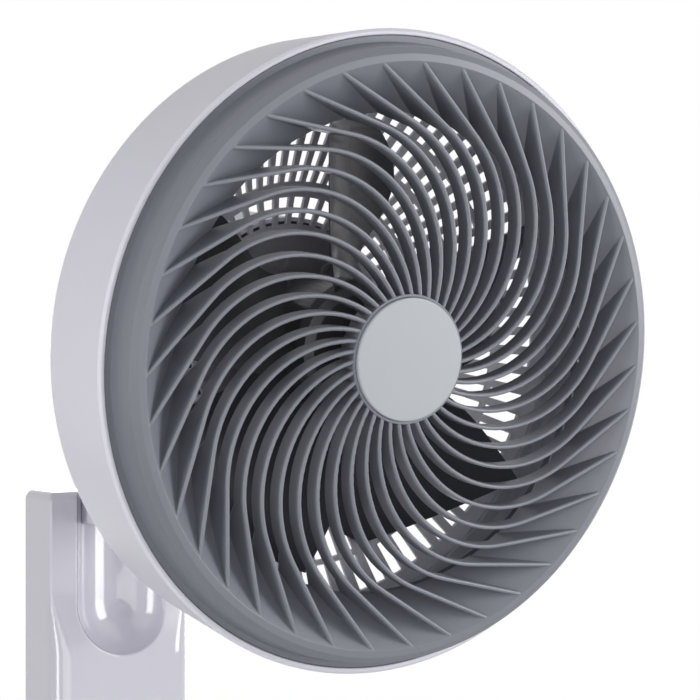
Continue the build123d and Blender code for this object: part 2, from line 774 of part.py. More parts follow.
# ---------------------------------------------------------------- motor cover
def motor_cover():
    front = bracket_face
    steps = 6
    outer = [(cover_radius, front), (cover_radius, cover_straight)]
    inner = [(cover_radius - cover_wall, front), (cover_radius - cover_wall, cover_straight)]
    depth = cover_rear - cover_straight
    for i in range(1, steps + 1):
        a = radians(90 * i / steps)
        outer.append((cover_radius - cover_round * (1 - cos(a)), cover_straight + depth * sin(a)))
        inner.append((cover_radius - cover_wall - cover_round * (1 - cos(a)), cover_straight + (depth - cover_wall) * sin(a)))
    outer.append((0, cover_rear + 2))
    inner.append((0, cover_rear + 2 - cover_wall))
    shell = turned(outer + list(reversed(inner)))
    top = front + cover_boss_height
    boss = bar(cover_boss_radius, (cover_boss_circle, front, 0), (cover_boss_circle, top, 0))
    boss += block(cover_boss_circle + cover_boss_radius / 2, cover_radius - cover_wall / 2, front, top, -1.2, 1.2)
    boss -= bar(shell_screw_radius, (cover_boss_circle, front - 1, 0), (cover_boss_circle, top - 1, 0))
    body = shell.fuse(*around(boss, screw_count, 45))
    opening = bar(collar_opening, (0, post_depth, -cover_radius - 5), (0, post_depth, -40))
    vent = slot_cutter(14.0, 28.0, 9.0)
    vents = [Pos(0, cover_rear - guard_flat_depth, 0) * v for v in around(vent, cover_vents)]
    rear_only = block(-70, 70, cover_straight + 10, cover_rear + 30, -70, 70)
    return body.cut(opening, *[v & rear_only for v in vents])


# ---------------------------------------------------------------- support arm and tilt hinge
def head_point(depth, up):
    """Place of a head point (on the middle plane) in the wall frame."""
    spot = (head_place * Pos(0, depth, up)).position
    return spot.Y, spot.Z


def support_arm():
    """Arm from the column's back plate, out through the niche, to a fork for the tilt pin."""
    pin_y, pin_z = head_point(post_depth, -pin_drop)
    half = arm_width / 2
    back = -back_thickness
    bend_y, bend_z = pin_y + arm_bend_reach, pin_z - arm_fork_half - arm_bend_drop
    lower = [(pin_y + 2, pin_z - arm_fork_half), (bend_y, bend_z), (-45, arm_root_bottom)]
    upper = [(-28, arm_root_top), (bend_y, pin_z + arm_fork_half - 9), (pin_y + 2, pin_z + arm_fork_half)]
    beam = outline_x(lower + [(back, arm_root_bottom), (back, arm_root_top)] + upper, half)
    eye = bar(ear_radius, (-half, pin_y, pin_z), (half, pin_y, pin_z))
    flange = block(-half + 0.5, half - 0.5, back - arm_flange_thickness, back, arm_flange_bottom, arm_root_bottom + 2)
    body = beam.fuse(eye, flange)
    reach = barrel_radius + 5
    slot = block(-ear_inner, ear_inner, pin_y - 40, pin_y, pin_z - 40, pin_z + 40)
    slot += bar(reach, (-ear_inner, pin_y, pin_z), (ear_inner, pin_y, pin_z))
    slot += block(-ear_inner, ear_inner, pin_y, pin_y + 26, pin_z + 5, pin_z + 30)
    duct = outline_x([(bend_y, bend_z - 4), (-45, arm_root_bottom - 4),
                      (-45, arm_root_bottom + 18), (pin_y + 45, pin_z - 2)], half - arm_wall)
    body = body - slot - duct - bar(pin_radius, (-half - 1, pin_y, pin_z), (half + 1, pin_y, pin_z))
    for x, z in arm_screw_spots():
        body -= bar(arm_screw_radius, (x, back + 1, z), (x, back - 12, z))
    return body


def arm_cover():
    """Flat lid under the arm that closes its cable way."""
    pin_y, pin_z = head_point(post_depth, -pin_drop)
    start = (pin_y + arm_bend_reach + 2, pin_z - arm_fork_half - arm_bend_drop - 0.4)
    end = (-46, arm_root_bottom + 0.6)
    thickness = arm_lid_thickness
    half = arm_width / 2 - arm_wall - arm_lid_gap
    return outline_x([start, end, (end[0], end[1] + thickness), (start[0], start[1] + thickness)], half)


def arm_screw_spots():
    return [(x, z) for x in (-arm_screw_x, arm_screw_x) for z in (arm_flange_bottom + 12, arm_root_bottom + 11)]


def arm_screws():
    screws = []
    for x, z in arm_screw_spots():
        tip = -back_thickness - (arm_flange_thickness if z < arm_root_bottom else 11)
        head = bar(arm_screw_head, (x, -0.4, z), (x, -arm_screw_seat, z))
        screws.append(head + bar(arm_screw_radius, (x, -arm_screw_seat, z), (x, tip, z)))
    return group(screws)


def tilt_pin():
    pin_y, pin_z = head_point(post_depth, -pin_drop)
    half = arm_width / 2
    pin = bar(pin_radius, (-half, pin_y, pin_z), (half + 5, pin_y, pin_z))
    head = bar(7.0, (-half - 3.0, pin_y, pin_z), (-half, pin_y, pin_z))
    return pin + fillet(head.edges().group_by(Axis.X)[0], 1.0)


def tilt_nut():
    pin_y, pin_z = head_point(post_depth, -pin_drop)
    x0 = arm_width / 2 + 0.8
    hexagon = Plane(origin=(x0, pin_y, pin_z), z_dir=(1, 0, 0)) * RegularPolygon(7.0, 6)
    return extrude(hexagon, amount=4.0) - bar(pin_radius, (x0 - 1, pin_y, pin_z), (x0 + 5, pin_y, pin_z))


def tilt_spring_washer():
    pin_y, pin_z = head_point(post_depth, -pin_drop)
    x0 = arm_width / 2
    return tube(7.0, pin_radius, (x0, pin_y, pin_z), (x0 + 0.8, pin_y, pin_z))


def friction_washers():
    pin_y, pin_z = head_point(post_depth, -pin_drop)
    x1 = ear_inner
    x0 = x1 - washer_thickness
    pair = [tube(12.0, pin_radius, (s * x0, pin_y, pin_z), (s * x1, pin_y, pin_z)) for s in (-1, 1)]
    return group(pair)


# ---------------------------------------------------------------- column
def column_plan(depth, edge, inset, height):
    """Plan of the column at one height: flat back, front corners rounded."""
    half = column_width / 2 - inset
    front = depth - inset
    r = max(edge - inset, 0.3)
    bow = r * (1 - sqrt(0.5))
    right = ThreePointArc((half, -front + r), (half - bow, -front + bow), (half - r, -front))
    left = ThreePointArc((-half + r, -front), (-half + bow, -front + bow), (-half, -front + r))
    lines = [Line((half, 0), right @ 0), right, Line(right @ 1, left @ 0), left, Line(left @ 1, (-half, 0)),
             Line((-half, 0), (half, 0))]
    return Plane.XY.offset(height) * make_face(lines)


def column_solid(inset, top, bottom):
    """Slim upper part, a soft swell and the deeper lower part."""
    rings = []
    for i in range(swell_steps + 1):
        t = i / swell_steps
        ease = t * t * (3 - 2 * t)
        rings.append(column_plan(upper_depth + (lower_depth - upper_depth) * ease,
                                 upper_edge + (lower_edge - upper_edge) * ease, inset,
                                 swell_top + (swell_bottom - swell_top) * t))
    upper = extrude(rings[0], amount=top - swell_top, dir=(0, 0, 1))
    lower = extrude(rings[-1], amount=swell_bottom - bottom, dir=(0, 0, -1))
    return upper, loft(rings), lower


def column_body():
    upper, swell, lower = column_solid(0, column_top, column_bottom)
    rim = [e for e in upper.edges() if abs((e @ 0.5).Z - column_top) < 0.01 and (e @ 0.5).Y < -0.5]
    upper = fillet(rim, top_edge)
    rim = [e for e in lower.edges() if abs((e @ 0.5).Z - column_bottom) < 0.01 and (e @ 0.5).Y < -0.5]
    return upper.fuse(swell, fillet(rim, bottom_edge))


def niche_cutter(grow):
    """Half-round niche, open to the front and top, with a rounded bottom."""
    radius = niche_radius + grow
    high = column_top + 5
    axis_y = -niche_axis
    front = -lower_depth - 10
    pipe = bar(radius, (0, axis_y, niche_floor), (0, axis_y, high))
    bowl = Pos(0, axis_y, niche_floor) * Sphere(radius)
    mouth = block(-radius, radius, front, axis_y, niche_floor, high)
    sill = bar(radius, (0, front, niche_floor), (0, axis_y, niche_floor))
    return pipe.fuse(bowl, mouth, sill)


def column_shell():
    outer = column_body()
    upper, swell, lower = column_solid(column_wall, column_top - column_wall, column_bottom + column_wall)
    inner = upper.fuse(swell, lower)
    inner = inner + block(-column_width / 2 + column_wall, column_width / 2 - column_wall, -1, 5,
                          column_bottom + column_wall, column_top - column_wall)
    shell = outer - inner
    lining = niche_cutter(niche_wall) & outer
    shell = shell + lining - niche_cutter(0)
    rim = [e for e in shell.edges() if is_niche_rim(e)]
    shell = fillet(rim, niche_edge)
    behind_niche = -niche_axis + niche_radius / 2
    window = block(-arm_width / 2 - 0.5, arm_width / 2 + 0.5, behind_niche, 1,
                   arm_root_bottom - 0.5, column_top - column_wall)
    shell -= window
    shell -= block(-column_width, column_width, -0.4, 1, column_bottom - 1, column_top + 1)
    room = block(-column_width / 2 + column_wall, column_width / 2 - column_wall, -back_thickness - arm_flange_thickness,
                 1, column_bottom + column_wall, column_top - column_wall)
    shell -= room
    for x in (-shell_screw_x, shell_screw_x):
        for z in (-shell_screw_z, shell_screw_z):
            front = (upper_depth if z > 0 else lower_depth) - column_wall / 2
            shell += tube(shell_boss_radius, shell_screw_radius, (x, -back_thickness - seat_gap, z), (x, -front, z))
    shell -= block(-panel_half_x, panel_half_x, -lower_depth - 1, -lower_depth + column_wall + 1, panel_bottom, panel_top)
    shell -= bar(inlet_radius, (0, -inlet_depth, column_bottom - 1), (0, -inlet_depth, column_bottom + column_wall + 1))
    return shell


def is_niche_rim(edge):
    """Edges where the niche meets the column's front face."""
    mid = edge @ 0.5
    if abs(mid.X) > niche_radius + 0.1 or mid.Z < niche_floor - niche_radius - 1 or mid.Z > column_top - 4:
        return False
    return all(p.Y < -upper_depth + 0.05 and abs(p.X) <= niche_radius + 0.1 for p in (edge @ 0, mid, edge @ 1))


def back_plate():
    half_x = column_width / 2 - column_wall - 0.3
    top, bottom = column_top - column_wall - 0.3, column_bottom + column_wall + 0.3
    plate = block(-half_x, half_x, -back_thickness, 0, bottom, top)
    px, pz = bracket_half_x + pocket_margin, bracket_half_z + pocket_margin
    plate += block(-px - 2.4, px + 2.4, -pocket_depth - back_thickness, 0, -pz - 2.4, min(pz + 2.4, arm_flange_bottom - 1))
    plate -= block(-px, px, -pocket_depth, 1, -pz, pz)
    for x in (-hook_x, hook_x):
        plate -= block(x - hook_width / 2 - 0.6, x + hook_width / 2 + 0.6, -20, 1, hook_height - 0.6, hook_height + hook_lip + 2)
    for x, z in arm_screw_spots():
        plate -= bar(arm_screw_radius + 0.15, (x, 1, z), (x, -5, z))
        plate -= bar(arm_screw_head + 0.2, (x, 1, z), (x, -arm_screw_seat, z))
    for x in (-shell_screw_x, shell_screw_x):
        for z in (-shell_screw_z, shell_screw_z):
            plate -= bar(shell_screw_radius + 0.15, (x, 1, z), (x, -5, z))
            plate -= bar(3.2, (x, 1, z), (x, -1.6, z))
    for x, z in power_posts():
        plate += tube(power_post_radius, board_screw_radius, (x, -back_thickness, z), (x, -power_board_depth, z))
    return plate


def shell_screws():
    screws = []
    for x in (-shell_screw_x, shell_screw_x):
        for z in (-shell_screw_z, shell_screw_z):
            screws.append(bar(3.0, (x, -0.2, z), (x, -1.6, z)) + bar(shell_screw_radius, (x, -1.6, z), (x, -16, z)))
    return group(screws)


def wall_bracket():
    plate = block(-bracket_half_x, bracket_half_x, -bracket_thickness, 0, -bracket_half_z, bracket_half_z)
    t = bracket_thickness
    for x in (-hook_x, hook_x):
        x0, x1 = x - hook_width / 2, x + hook_width / 2
        plate += block(x0, x1, -hook_reach, 0, hook_height, hook_height + t)
        plate += block(x0, x1, -hook_reach, -hook_reach + t, hook_height, hook_height + hook_lip)
    for x in (-wall_hole_x / 2, wall_hole_x / 2):
        for z in (-wall_hole_z / 2, wall_hole_z / 2):
            plate -= bar(wall_hole_radius, (x, 1, z), (x, -5, z))
    return plate


# ---------------------------------------------------------------- controls
def control_panel():
    gap = 0.2
    face = block(-panel_half_x + gap, panel_half_x - gap, -panel_front, -panel_rear, panel_bottom + gap, panel_top - gap)
    face = fillet(face.edges().filter_by(Axis.Y), 2.0)
    lip_front = lower_depth - column_wall - seat_gap
    lip = block(-panel_half_x - 2, panel_half_x + 2, -lip_front, -panel_rear, panel_bottom - 2, panel_top + 2)
    panel = face + lip
    for z in button_heights:
        panel -= bar(button_radius + hand_gap, (0, -60, z), (0, -20, z))
    panel -= block(-window_half_x, window_half_x, -60, -20, window_bottom, window_top)
    for x, z in board_posts():
        panel += bar(board_post_radius, (x, -panel_rear, z), (x, -board_depth, z))
    return panel


def board_posts():
    x = panel_half_x - board_post_inset
    return [(sx * x, z) for sx in (-1, 1) for z in (panel_bottom + 5, panel_top - 5)]


def display_window():
    gap = 0.15
    lens = block(-window_half_x + gap, window_half_x - gap, -panel_front - 0.3, -panel_rear, window_bottom + gap, window_top - gap)
    lens = fillet(lens.edges().filter_by(Axis.Y), 1.5)
    return fillet(lens.edges().group_by(Axis.Y)[0], 0.4)


def control_board():
    board = block(-panel_half_x, panel_half_x, -board_depth, -board_depth + board_thickness, panel_bottom, panel_top)
    for x, z in board_posts():
        board -= bar(board_screw_radius, (x, -board_depth - 1, z), (x, -board_depth + 3, z))
    return board


def board_screws():
    rear = -board_depth + board_thickness
    return group(pan_screw(board_screw_radius, board_screw_head, board_screw_rise, (x, rear, z), (x, -board_depth, z))
                 for x, z in board_posts())


def tact_switches():
    tip = panel_rear - seat_gap - button_flange - button_travel - 0.05
    switches = []
    for z in button_heights:
        body = block(-3, 3, -board_depth - 3.2, -board_depth, z - 3, z + 3)
        switches.append(body + bar(1.7, (0, -board_depth - 3.2, z), (0, -tip, z)))
    return group(switches)


def indicator_lamps():
    z = (window_top + window_bottom) / 2
    lamps = []
    for i in range(5):
        x = -10 + 5 * i
        lamp = bar(1.5, (x, -board_depth, z), (x, -panel_rear + 0.6, z))
        lamps.append(lamp)
    return group(lamps)


def push_button(height):
    front = -panel_front - button_proud
    rear = -panel_rear + seat_gap
    cap = bar(button_radius, (0, front, height), (0, rear, height))
    cap = fillet(cap.edges().group_by(Axis.Y)[0], 0.9)
    return cap + bar(button_radius + 1.4, (0, rear, height), (0, rear + button_flange, height))


def power_posts():
    x = power_board_half_x - board_post_inset
    ends = (power_board_bottom + power_edge, power_board_top - power_edge)
    return [(sx * x, z) for sx in (-1, 1) for z in ends]


def power_board():
    board = block(-power_board_half_x, power_board_half_x, -power_board_depth - board_thickness, -power_board_depth,
                  power_board_bottom, power_board_top)
    for x, z in power_posts():
        board -= bar(board_screw_radius, (x, -power_board_depth - 5, z), (x, -power_board_depth + 5, z))
    return board


def power_screws():
    front = -power_board_depth - board_thickness
    return group(pan_screw(board_screw_radius, board_screw_head, board_screw_rise, (x, front, z),
                           (x, front + board_screw_length, z)) for x, z in power_posts())


def power_components():
    """Capacitors, transformer, relay and terminal block on the power board."""
    seat = -power_board_depth - board_thickness
    low = power_board_bottom
    parts = [
        bar(capacitor_radius, (-14, seat, low + 18), (-14, seat - capacitor_height, low + 18)),
        bar(capacitor_radius - 1, (-2, seat, low + 16), (-2, seat - capacitor_height + 2, low + 16)),
        block(4, 20, seat - transformer_height, seat, low + 12, low + 32),
        block(-20, -5, seat - relay_height, seat, low + 34, low + 54),
        block(2, 20, seat - terminal_height, seat, low + 40, low + 52),
    ]
    return group(parts)


def inlet_grommet():
    """Rubber cable grommet, closed by its membrane."""
    inside, outside = column_bottom + column_wall, column_bottom
    plug = bar(inlet_radius, (0, -inlet_depth, outside), (0, -inlet_depth, inside))
    plug += bar(inlet_radius + 2, (0, -inlet_depth, outside - 1.6), (0, -inlet_depth, outside))
    plug += bar(inlet_radius + 1.5, (0, -inlet_depth, inside), (0, -inlet_depth, inside + 1.5))
    return plug


# ---------------------------------------------------------------- assembly
head_parts = {
    "front_grille": front_grille, "hub_disc": hub_disc, "drum_shell": drum_shell, "rear_guard": rear_guard,
    "mounting_plate": mounting_plate, "drum_screws": drum_screws, "grille_screws": grille_screws,
    "impeller": impeller, "spinner_nut": spinner_nut, "motor_shaft": motor_shaft, "drive_pin": drive_pin,
    "motor_front_bracket": lambda: end_bracket(True), "motor_rear_bracket": lambda: end_bracket(False),
    "front_bearing": lambda: ball_bearing(True), "rear_bearing": lambda: ball_bearing(False),
    "motor_stator": stator, "motor_coils": coils, "motor_rotor": rotor,
    "motor_screws": motor_screws, "motor_mount_screws": mount_screws, "cover_screws": cover_screws,
    "head_chassis": head_chassis, "swing_bush": swing_bush, "thrust_washer": thrust_washer,
    "neck_gear": neck_gear, "swing_pinion": swing_pinion, "swing_motor": swing_motor,
    "swing_post": swing_post, "post_retainer": post_retainer, "neck_knuckle": neck_knuckle,
    "motor_cover": motor_cover,
}
wall_parts = {
    "support_arm": support_arm, "arm_cover": arm_cover, "arm_screws": arm_screws, "tilt_pin": tilt_pin,
    "tilt_nut": tilt_nut, "tilt_spring_washer": tilt_spring_washer, "friction_washers": friction_washers,
    "column_shell": column_shell, "back_plate": back_plate, "shell_screws": shell_screws,
    "wall_bracket": wall_bracket, "control_panel": control_panel, "display_window": display_window,
    "control_board": control_board, "board_screws": board_screws, "tact_switches": tact_switches,
    "indicator_lamps": indicator_lamps, "power_board": power_board, "power_screws": power_screws,
    "power_components": power_components, "inlet_grommet": inlet_grommet,
}
button_names = ("power_button", "speed_button", "swing_button", "timer_button")

for name, make in head_parts.items():
    keep(name, make(), head_place)
for name, make in wall_parts.items():
    keep(name, make())
for name, height in zip(button_names, button_heights):
    keep(name, push_button(height))

os.makedirs("parts", exist_ok=True)
for name, shape in nodes.items():
    export_step(shape, f"parts/{name}.step")
print(len(nodes), "nodes")
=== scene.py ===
import math

import bmesh
import bpy
from mathutils import Matrix, Vector


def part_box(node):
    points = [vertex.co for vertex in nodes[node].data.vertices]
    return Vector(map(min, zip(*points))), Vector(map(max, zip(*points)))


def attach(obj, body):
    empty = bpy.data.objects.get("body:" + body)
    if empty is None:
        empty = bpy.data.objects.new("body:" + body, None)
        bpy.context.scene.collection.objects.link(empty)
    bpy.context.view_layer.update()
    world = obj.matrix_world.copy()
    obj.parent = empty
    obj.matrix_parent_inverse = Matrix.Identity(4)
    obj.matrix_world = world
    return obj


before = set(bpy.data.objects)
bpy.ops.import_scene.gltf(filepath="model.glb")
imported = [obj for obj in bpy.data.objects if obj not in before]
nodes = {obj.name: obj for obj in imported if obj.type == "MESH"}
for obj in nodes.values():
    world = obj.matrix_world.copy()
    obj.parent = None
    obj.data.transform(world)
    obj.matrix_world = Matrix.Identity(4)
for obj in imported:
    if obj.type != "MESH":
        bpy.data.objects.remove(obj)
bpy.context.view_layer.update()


# ---------------------------------------------------------------------------
# Camera and studio.  The camera stands to the left of the fan, level with the
# drum, with a long lens.  Four soft lamps stand round the fan on white: a strong
# one at the right, a narrow one at the left, a wide one in front, one behind.
camera_place = (-0.6818, -1.3425, 0.2343)
camera_sight = (0.5458, 0.8379, 0.0)
camera_data = bpy.data.cameras.new("camera")
camera = bpy.data.objects.new("camera", camera_data)
bpy.context.collection.objects.link(camera)
camera.location = camera_place
camera.rotation_euler = Vector(camera_sight).to_track_quat("-Z", "Y").to_euler()
camera_data.sensor_width = 36.0
camera_data.lens = 122.35
camera_data.clip_start = 0.05
camera_data.clip_end = 50.0
bpy.context.scene.camera = camera
bpy.context.scene.view_settings.view_transform = "Standard"

fan_middle = (0.0, -0.25, 0.18)


def soft_lamp(name, place, width, height, power):
    """Rectangular soft box that faces the fan."""
    data = bpy.data.lights.new(name, "AREA")
    data.shape = "RECTANGLE"
    data.size = width
    data.size_y = height
    data.energy = power
    lamp = bpy.data.objects.new(name, data)
    lamp.location = place
    aim = Vector(fan_middle) - Vector(place)
    lamp.rotation_euler = aim.to_track_quat("-Z", "Y").to_euler()
    bpy.context.collection.objects.link(lamp)


soft_lamp("lamp_key", (1.65, -1.75, 0.55), width=1.0, height=1.5, power=30.5)
soft_lamp("lamp_left", (-2.1, -0.75, 0.15), width=0.55, height=1.8, power=21.0)
soft_lamp("lamp_front", (-0.75, -2.3, 0.15), width=1.9, height=1.8, power=15.5)
soft_lamp("lamp_rear", (0.9, 2.1, -0.15), width=1.4, height=1.0, power=18.0)


def feed(tree, node, inputs):
    """Gives each input of a node a plain value or another node's output."""
    for key, value in inputs.items():
        if isinstance(value, bpy.types.NodeSocket):
            tree.links.new(value, node.inputs[key])
        else:
            node.inputs[key].default_value = value


def add_node(tree, kind, inputs=None, **settings):
    """New node with its settings, fed with its inputs."""
    node = tree.nodes.new(kind)
    for key, value in settings.items():
        setattr(node, key, value)
    feed(tree, node, inputs or {})
    return node


def maths(tree, operation, *terms, use_clamp=False):
    """Result of an operation on plain values or other nodes' outputs."""
    inputs = dict(enumerate(terms))
    return add_node(tree, "ShaderNodeMath", inputs, operation=operation, use_clamp=use_clamp).outputs[0]


# white to the camera and in glass and metal, softer as a light
white = (1.0, 1.0, 1.0, 1.0)
fill_strength = 0.22
world = bpy.data.worlds.new("studio_white")
bpy.context.scene.world = world
world.use_nodes = True
sky = world.node_tree
sky.nodes.clear()
rays = add_node(sky, "ShaderNodeLightPath").outputs
seen = rays["Is Camera Ray"]
for ray in ("Is Transmission Ray", "Is Glossy Ray"):
    seen = maths(sky, "MAXIMUM", seen, rays[ray])
fill = add_node(sky, "ShaderNodeBackground", {"Color": white, "Strength": fill_strength})
shown = add_node(sky, "ShaderNodeBackground", {"Color": white, "Strength": 1.0})
mix = add_node(sky, "ShaderNodeMixShader", {"Fac": seen, 1: fill.outputs[0], 2: shown.outputs[0]})
add_node(sky, "ShaderNodeOutputWorld", {"Surface": mix.outputs[0]})


def new_finish(name):
    """New material, with its node tree and its shader."""
    finish = bpy.data.materials.new(name)
    finish.use_nodes = True
    return finish, finish.node_tree, finish.node_tree.nodes["Principled BSDF"]


def new_piece(name, build, finish):
    """Object of a shape that was built in place, in one finish."""
    mesh = bpy.data.meshes.new(name)
    build.to_mesh(mesh)
    build.free()
    mesh.materials.append(finish)
    piece = bpy.data.objects.new(name, mesh)
    bpy.context.collection.objects.link(piece)
    return piece


floor_radius = 2.2
floor_place = (0.0, -0.2, -0.42)
floor_glow = 0.5
floor_paint, floor_tree, floor_shader = new_finish("floor_pale")
floor_sight = add_node(floor_tree, "ShaderNodeLightPath").outputs["Is Camera Ray"]
feed(floor_tree, floor_shader, {
    "Base Color": (0.86, 0.86, 0.86, 1.0), "Roughness": 0.9, "Emission Color": white,
    "Emission Strength": maths(floor_tree, "MULTIPLY", floor_sight, floor_glow)})
floor_build = bmesh.new()
bmesh.ops.create_circle(floor_build, cap_ends=True, segments=64, radius=floor_radius)
bmesh.ops.translate(floor_build, verts=floor_build.verts, vec=floor_place)
floor = new_piece("floor", floor_build, floor_paint)


# ---------------------------------------------------------------------------
# Front grille: grey polypropylene, moulded in one piece with its ring, funnel,
# hub and spiral ribs, with the fine spark-eroded grain of the tool and edges
# that are a little rounder and shinier, lightened by a painted highlight.
# Screwed to the drum's ledge.
def new_group(name, inputs, outputs):
    """Node group with its named sockets and their kinds, and what comes in through them."""
    group = bpy.data.node_groups.new(name, "ShaderNodeTree")
    for way, sockets in (("INPUT", inputs), ("OUTPUT", outputs)):
        for label, kind in sockets.items():
            group.interface.new_socket(name=label, in_out=way, socket_type="NodeSocket" + kind)
    return group, add_node(group, "NodeGroupInput").outputs


def place_on_piece(tree):
    """Where on the piece a point lies, in metres."""
    return add_node(tree, "ShaderNodeTexCoord").outputs["Object"]


def noise(tree, place, scale, detail, roughness=0.5):
    """Noise pattern between 0 and 1."""
    inputs = {"Vector": place, "Scale": scale, "Detail": detail, "Roughness": roughness}
    return add_node(tree, "ShaderNodeTexNoise", inputs).outputs["Fac"]


noise_middle = 0.5
flat_cosine = 1.0
edge_cosine = 0.7


def moulded_skin():
    """Node group: grain and cloud of a moulded surface, and its softened edges, lightened by a painted
    highlight and polished by wear.
    """
    group, given = new_group("moulded_skin", {
        "Pigment": "Color", "Grain Scale": "Float", "Grain Height": "Float", "Cloud": "Float",
        "Gloss": "Float", "Gloss Spread": "Float", "Edge Radius": "Float", "Edge Wear And Sheen": "Float",
    }, {"Colour": "Color", "Roughness": "Float", "Height": "Float", "Soft Edge": "Vector"})
    place = place_on_piece(group)
    grain = noise(group, place, given["Grain Scale"], detail=3.0, roughness=0.65)
    cloud = noise(group, place, scale=14.0, detail=4.0)

    # where the rounded normal leaves the face's own, there is an edge
    rounded = add_node(group, "ShaderNodeBevel", {"Radius": given["Edge Radius"]}, samples=4)
    surface = add_node(group, "ShaderNodeNewGeometry")
    along = add_node(group, "ShaderNodeVectorMath", {
        0: rounded.outputs["Normal"], 1: surface.outputs["Normal"]}, operation="DOT_PRODUCT")
    edge = add_node(group, "ShaderNodeMapRange", {
        "Value": along.outputs["Value"], "From Min": flat_cosine, "From Max": edge_cosine})
    # along the edges the colour is lifted: a painted highlight; the drop in roughness there is the polish
    # of wear
    wear_and_sheen = maths(group, "MULTIPLY", edge.outputs["Result"], given["Edge Wear And Sheen"])

    clouds = maths(group, "SUBTRACT", cloud, noise_middle)
    shade = maths(group, "MULTIPLY_ADD", clouds, given["Cloud"], 1.0)
    lift = maths(group, "ADD", shade, wear_and_sheen)
    tint = add_node(group, "ShaderNodeVectorMath", {0: given["Pigment"], "Scale": lift}, operation="SCALE")
    speckle = maths(group, "SUBTRACT", grain, noise_middle)
    uneven = maths(group, "ADD", speckle, clouds)
    rough = maths(group, "MULTIPLY_ADD", uneven, given["Gloss Spread"], given["Gloss"])
    add_node(group, "NodeGroupOutput", {
        "Colour": tint.outputs["Vector"],
        "Roughness": maths(group, "SUBTRACT", rough, wear_and_sheen, use_clamp=True),
        "Height": maths(group, "MULTIPLY", grain, given["Grain Height"]),
        "Soft Edge": rounded.outputs["Normal"]})
    return group


skin_group = moulded_skin()
grain_depth = 0.0002


def moulding(name, pigment, gloss, grain, spread=0.1, height=0.25, cloud=0.05, bump=0.15, coat=0.0,
             coat_gloss=0.08, edge=0.0004, wear_and_sheen=0.12):
    """Plastic, rubber or paint that takes its grain, cloud and edges from the moulded skin."""
    finish, tree, shader = new_finish(name)
    skin = add_node(tree, "ShaderNodeGroup", {
        "Pigment": (*pigment, 1.0), "Grain Scale": grain, "Grain Height": height, "Cloud": cloud,
        "Gloss": gloss, "Gloss Spread": spread, "Edge Radius": edge, "Edge Wear And Sheen": wear_and_sheen,
    }, node_tree=skin_group).outputs
    bumps = add_node(tree, "ShaderNodeBump", {
        "Strength": bump, "Distance": grain_depth, "Height": skin["Height"], "Normal": skin["Soft Edge"]})
    feed(tree, shader, {
        "Base Color": skin["Colour"], "Roughness": skin["Roughness"], "Normal": bumps.outputs["Normal"],
        "Coat Weight": coat, "Coat Roughness": coat_gloss})
    return finish


def dress(finish, *names):
    """Puts a finish on pieces that come from the frame."""
    for name in names:
        piece = nodes[name]
        if not piece.data.materials:
            piece.data.materials.append(finish)
        for slot in piece.material_slots:
            slot.material = finish


grille_plastic = moulding("grille_grey", (0.190, 0.200, 0.232), 0.34, grain=1100.0, edge=0.0006)
dress(grille_plastic, "front_grille")

# ---------------------------------------------------------------------------
# Disc in the grille's hub: a thin moulding sprayed with a fine silver-grey
# metallic paint and pressed into the hub.
disc_paint = moulding("hub_silver", (0.40, 0.42, 0.45), 0.34, grain=2600.0, bump=0.06, cloud=0.03,
                      coat=0.15, coat_gloss=0.25)
dress(disc_paint, "hub_disc")

# ---------------------------------------------------------------------------
# Drum: white ABS with a fine satin grain, one deep ring open at both ends.  The
# motor's cover is moulded in the same plastic.
drum_plastic = moulding("drum_white", (0.72, 0.71, 0.79), 0.38, grain=1300.0, bump=0.08, cloud=0.02,
                        edge=0.0008)
dress(drum_plastic, "drum_shell", "motor_cover")

# ---------------------------------------------------------------------------
# Rear guard: white ABS, a slotted dish that closes the drum and carries the
# motor, with a dark plate on its middle that spreads the pull of the screws.
guard_plastic = moulding("guard_white", (0.78, 0.77, 0.85), 0.32, grain=1100.0, cloud=0.03)
dress(guard_plastic, "rear_guard")
plate_plastic = moulding("plate_dark", (0.36, 0.345, 0.38), 0.30, grain=800.0, cloud=0.10, wear_and_sheen=0.05)
dress(plate_plastic, "mounting_plate")

# ---------------------------------------------------------------------------
# Wheel: dark grey glass-filled plastic, five wide blades on a cup, semi-gloss
# with faint flow clouds from the glass fibre.  Its nut is of the same plastic.
blade_plastic = moulding("blade_grey", (0.075, 0.075, 0.086), 0.20, grain=700.0, cloud=0.15,
                         spread=0.14, wear_and_sheen=0.03)
dress(blade_plastic, "impeller", "spinner_nut")


# ---------------------------------------------------------------------------
# Motor: ground steel shaft and bearings, black pressed end brackets, varnished
# stack of sheets, enamelled copper windings, zinc-plated screws.
def metal_grain():
    """Node group: fine drawn or turned lines along one direction of a metal part."""
    group, given = new_group("metal_grain", {
        "Tone": "Color", "Line Scale": "Float", "Stretch": "Vector", "Gloss": "Float",
        "Gloss Spread": "Float", "Stain": "Float",
    }, {"Colour": "Color", "Roughness": "Float", "Height": "Float"})
    place = place_on_piece(group)
    drawn = add_node(group, "ShaderNodeVectorMath", {0: place, 1: given["Stretch"]}, operation="MULTIPLY")
    lines = noise(group, drawn.outputs["Vector"], given["Line Scale"], detail=2.0)
    stain = noise(group, place, scale=55.0, detail=5.0)
    stains = maths(group, "SUBTRACT", stain, noise_middle)
    shade = maths(group, "MULTIPLY_ADD", stains, given["Stain"], 1.0)
    tint = add_node(group, "ShaderNodeVectorMath", {0: given["Tone"], "Scale": shade}, operation="SCALE")
    uneven = maths(group, "SUBTRACT", lines, noise_middle)
    rough = maths(group, "MULTIPLY_ADD", uneven, given["Gloss Spread"], given["Gloss"], use_clamp=True)
    add_node(group, "NodeGroupOutput", {
        "Colour": tint.outputs["Vector"], "Roughness": rough, "Height": lines})
    return group


metal_group = metal_grain()
no_lines = (1.0, 1.0, 1.0)
lines_along_y = (40.0, 1.0, 40.0)


